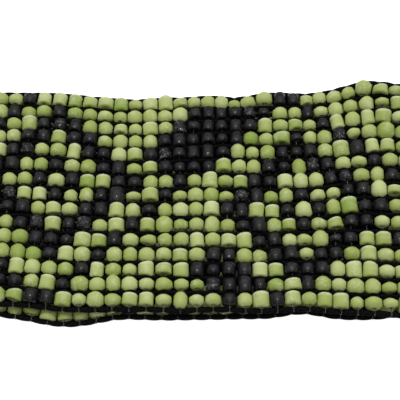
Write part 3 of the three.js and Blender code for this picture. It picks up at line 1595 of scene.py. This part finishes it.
@dataclass
class WeftThread:
    """The clear thread: through each column of beads, round an edge cord, back, and round again.

    It runs at run_height through the beads and back at the same depth. In arch_share of the gaps
    between rows it rises to arch_height over the warp. hug is the angle by which it goes round
    an edge cord to each side, in degrees.
    """

    cords: EdgeCords
    across: float = 0.17
    run_height: float = 0.2
    arch_height: float = 0.5
    arch_share: float = 0.05
    hug: float = 110.0
    sides: int = 4
    points_in_a_turn: int = 5
    seed: int = 11

    def _way_round(self, far: np.ndarray, near: np.ndarray, arches: np.ndarray) -> np.ndarray:
        """Give the thread's way round one column.

        Args:
            far: the far cord's middle, as a distance across and a height.
            near: the near cord's middle in the same way.
            arches: for each gap between two rows, whether the thread rises over the warp.

        Returns:
            Its points in order, as distances across and heights.
        """
        sizes = self.cords.beads.lie.sizes
        around = (sizes.edge_cord_across + self.across) / 2
        gaps = np.array([sizes.row_middle(row + 0.5) for row in range(sizes.row_count - 1)])[::-1]
        run = np.concatenate([[near[0] + around], gaps, [far[0] - around]])
        turn = np.radians(np.linspace(self.hug, -self.hug, self.points_in_a_turn))
        bow = around * np.stack([np.cos(turn), np.sin(turn)], axis=1)
        beyond_far = bow + far
        beyond_near = bow[::-1] * np.array([-1.0, 1.0]) + near
        rise = np.where(np.concatenate([[False], arches, [False]]), self.arch_height, self.run_height)
        there = np.stack([run, rise], axis=1)
        back = np.stack([run, np.full_like(run, -self.run_height)], axis=1)[::-1]
        return np.concatenate([there, beyond_far, back, beyond_near])

    def build(self, finish: ThreadFinish) -> list[bpy.types.Object]:
        """Make the thread of all columns.

        Args:
            finish: its finish.

        Returns:
            One piece.
        """
        lie = self.cords.beads.lie
        sizes = lie.sizes
        columns = np.arange(sizes.column_count)
        places = (columns - sizes.first_column) * lie.length / sizes.column_count
        far, near = (
            np.stack([self.cords.middle_at(places, edge), -self.cords.sag_at(places, edge)], axis=1)
            for edge in (Edge.FAR, Edge.NEAR)
        )
        draw = np.random.default_rng(self.seed)
        arches = draw.uniform(size=(sizes.column_count, sizes.row_count - 1)) < self.arch_share
        parts = MeshParts()
        for column in columns:
            way = self._way_round(far[column], near[column], arches[column])
            along = np.full(len(way), places[column])
            middles = lie.place(along, way[:, 0], way[:, 1])
            ahead = lie.axes(along, way[:, 0])[0]
            tube(parts, middles, ahead, np.full(len(way), self.across / 2), self.sides)
        piece = parts.piece("weft_thread", finish.material())
        return [hand_over(piece, BAND_NODE)]


@dataclass(frozen=True)
class SoftLight:
    """A soft studio light that points at the belt."""

    name: str
    azimuth: float
    elevation: float
    distance: float
    width: float
    depth: float
    power: float

    def build(self, aim: np.ndarray) -> None:
        """Put up the light.

        Args:
            aim: the point that it lights, in metres.
        """
        turn, rise = math.radians(self.azimuth), math.radians(self.elevation)
        way = np.array([math.sin(turn) * math.cos(rise), math.cos(turn) * math.cos(rise), math.sin(rise)])
        lamp = bpy.data.lights.new(self.name, "AREA")
        lamp.shape = "RECTANGLE"
        lamp.size, lamp.size_y, lamp.energy = self.width, self.depth, self.power
        holder = bpy.data.objects.new(self.name, lamp)
        holder.location = aim + way * self.distance
        holder.rotation_euler = (math.pi / 2 - rise, 0.0, math.pi - turn)
        bpy.context.scene.collection.objects.link(holder)


@dataclass(frozen=True)
class Studio:
    """The camera, the pale floor, the lights and the surrounding light.

    focal_pixels is the focal length for a picture of image_width, and the camera looks at the
    point aim_x, aim_y on the upper layer. Its lengths are in metres, and sensor_width and the
    shade's sizes are in millimetres. The sky's strength changes from sky_in_front to sky_behind
    over sky_turn, a range of the direction's Y.
    """

    image_width: int = 400
    focal_pixels: float = 958.6
    sensor_width: float = 36.0
    nearest_seen: float = 0.01
    elevation: float = 62.0
    distance: float = 0.2472
    aim_x: float = -0.00053
    aim_y: float = -0.00052
    floor_size: float = 6.0
    floor_tint: Colour = (0.86, 0.86, 0.86, 1.0)
    floor_roughness: float = 0.9
    backdrop_tint: Colour = (1.0, 1.0, 1.0, 1.0)
    backdrop_glow: float = 0.9
    sky_behind: float = 0.56
    sky_in_front: float = 0.02
    sky_turn: tuple[float, float] = (-0.6, 0.1)
    shade_tint: Colour = (0.02, 0.02, 0.02, 1.0)
    shade_roughness: float = 1.0
    shade_height: float = 0.05
    shade_inset: float = 0.8
    shade_end: float = 4.0
    shade_steps: int = 368
    lights: tuple[SoftLight, ...] = (
        SoftLight("back_softbox", 0.0, 70.0, 0.9, 1.5, 1.1, 3.8),
        SoftLight("front_softbox", 180.0, 60.0, 0.9, 0.8, 0.5, 1.3),
        SoftLight("glint_lamp", 0.0, 84.0, 0.9, 0.1, 0.07, 1.55),
    )

    def camera(self, aim_height: float) -> None:
        """Set up the camera at the photograph's angle.

        Args:
            aim_height: the height of the point in the middle of the picture, in metres.
        """
        lens = bpy.data.cameras.new("camera")
        lens.sensor_width = self.sensor_width
        lens.lens = self.sensor_width * self.focal_pixels / self.image_width
        lens.clip_start = self.nearest_seen
        holder = bpy.data.objects.new("camera", lens)
        rise = math.radians(self.elevation)
        holder.location = (
            self.aim_x,
            self.aim_y - self.distance * math.cos(rise),
            aim_height + self.distance * math.sin(rise),
        )
        holder.rotation_euler = (math.pi / 2 - rise, 0.0, 0.0)
        bpy.context.scene.collection.objects.link(holder)
        bpy.context.scene.camera = holder

    def _glow_for_camera(self, desk: NodeDesk) -> bpy.types.NodeSocket:
        """Give the backdrop's glow, which the camera sees and which lights nothing."""
        seen = desk.node("ShaderNodeLightPath").outputs["Is Camera Ray"]
        return desk.maths("MULTIPLY", seen, self.backdrop_glow)

    def floor(self) -> None:
        """Lay the plain pale floor, which looks white like the photograph's backdrop."""
        bpy.ops.object.select_all(action="DESELECT")
        bpy.ops.mesh.primitive_plane_add(size=self.floor_size)
        floor = bpy.context.object
        floor.name = "floor"
        material, desk, shader = new_material("pale floor")
        shader.inputs["Base Color"].default_value = self.floor_tint
        shader.inputs["Roughness"].default_value = self.floor_roughness
        shader.inputs["Emission Color"].default_value = self.backdrop_tint
        desk.feed(shader.inputs["Emission Strength"], self._glow_for_camera(desk))
        floor.data.materials.append(material)

    def shade(self, cords: EdgeCords) -> None:
        """Put the shade under the belt, so that the glowing floor doesn't show between beads.

        It lies on the floor from one layer's near cord to the other's far cord, and stands up
        to the far cord there. From behind, what stands is clear.

        Args:
            cords: the edge cords.
        """
        lie = cords.beads.lie
        half = lie.sizes.straight_half - self.shade_end
        upper = np.linspace(-half, half, self.shade_steps)
        lower = lie.length / 2 - upper
        near = lie.place(lower, cords.middle_at(lower, Edge.NEAR) + self.shade_inset, 0.0)
        far = lie.place(upper, cords.middle_at(upper, Edge.FAR), -cords.sag_at(upper, Edge.FAR))
        rails = np.stack([near, far, far], axis=1)
        rails[:, :2, 2] = self.shade_height
        count = rails.shape[1]
        first = count * np.arange(self.shade_steps - 1)
        lying = np.stack([first, first + count, first + count + 1, first + 1], axis=1)
        parts = MeshParts()
        parts.add(rails.reshape(-1, 3), np.concatenate([lying, lying + 1]))
        material, desk, shader = new_material("shade")
        shader.inputs["Base Color"].default_value = self.shade_tint
        shader.inputs["Roughness"].default_value = self.shade_roughness
        behind = desk.node("ShaderNodeNewGeometry").outputs["Backfacing"]
        desk.feed(shader.inputs["Alpha"], desk.maths("SUBTRACT", 1.0, behind))
        parts.piece("shade", material)

    def sky(self) -> None:
        """Set up the surrounding light: dim in front of the belt and bright behind it."""
        world = bpy.data.worlds.new("studio")
        world.use_nodes = True
        desk = NodeDesk(world.node_tree)
        background = desk.node("ShaderNodeBackground")
        split = desk.node("ShaderNodeSeparateXYZ")
        desk.feed(split.inputs[0], desk.node("ShaderNodeTexCoord").outputs["Generated"])
        change = Span(*self.sky_turn, self.sky_in_front, self.sky_behind)
        strength = desk.maths("MAXIMUM", desk.span(split.outputs[1], change), self._glow_for_camera(desk))
        desk.feed(background.inputs["Strength"], strength)
        desk.feed(desk.node("ShaderNodeOutputWorld").inputs["Surface"], background.outputs[0])
        bpy.context.scene.world = world

    def build(self, cords: EdgeCords) -> None:
        """Set up the whole studio.

        Args:
            cords: the belt's edge cords.
        """
        aim_height = cords.beads.lie.sizes.upper_height * MILLIMETRE
        self.camera(aim_height)
        self.floor()
        self.shade(cords)
        for light in self.lights:
            light.build(np.array([self.aim_x, self.aim_y, aim_height]))
        self.sky()
        bpy.context.scene.view_settings.view_transform = "Standard"


def main() -> None:
    """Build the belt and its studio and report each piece."""
    logging.basicConfig(level=logging.INFO, format="%(name)s: %(message)s")
    LOG.info("the frame has %d nodes", len(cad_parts))
    sizes = BeltSizes()
    lie = lie_in_frame(sizes)
    LOG.info("the loop is %.1f mm round, shifted %.2f mm across", lie.length, lie.offset_across)
    beads = BeadField(lie, WovenPattern(), BeadMaker(sizes))
    pieces = beads.build({Tone.LIME: LIME_GLASS, Tone.BLACK: BLACK_GLASS})
    pieces += WarpCords(lie).build(WARP_CORD)
    edge_cords = EdgeCords(beads)
    pieces += edge_cords.build(EDGE_CORD)
    Studio().build(edge_cords)
    pieces += WeftThread(edge_cords).build(CLEAR_THREAD)
    for piece in pieces:
        LOG.info("%s: %d faces", piece.name, len(piece.data.polygons))


if __name__ == "__main__":
    main()
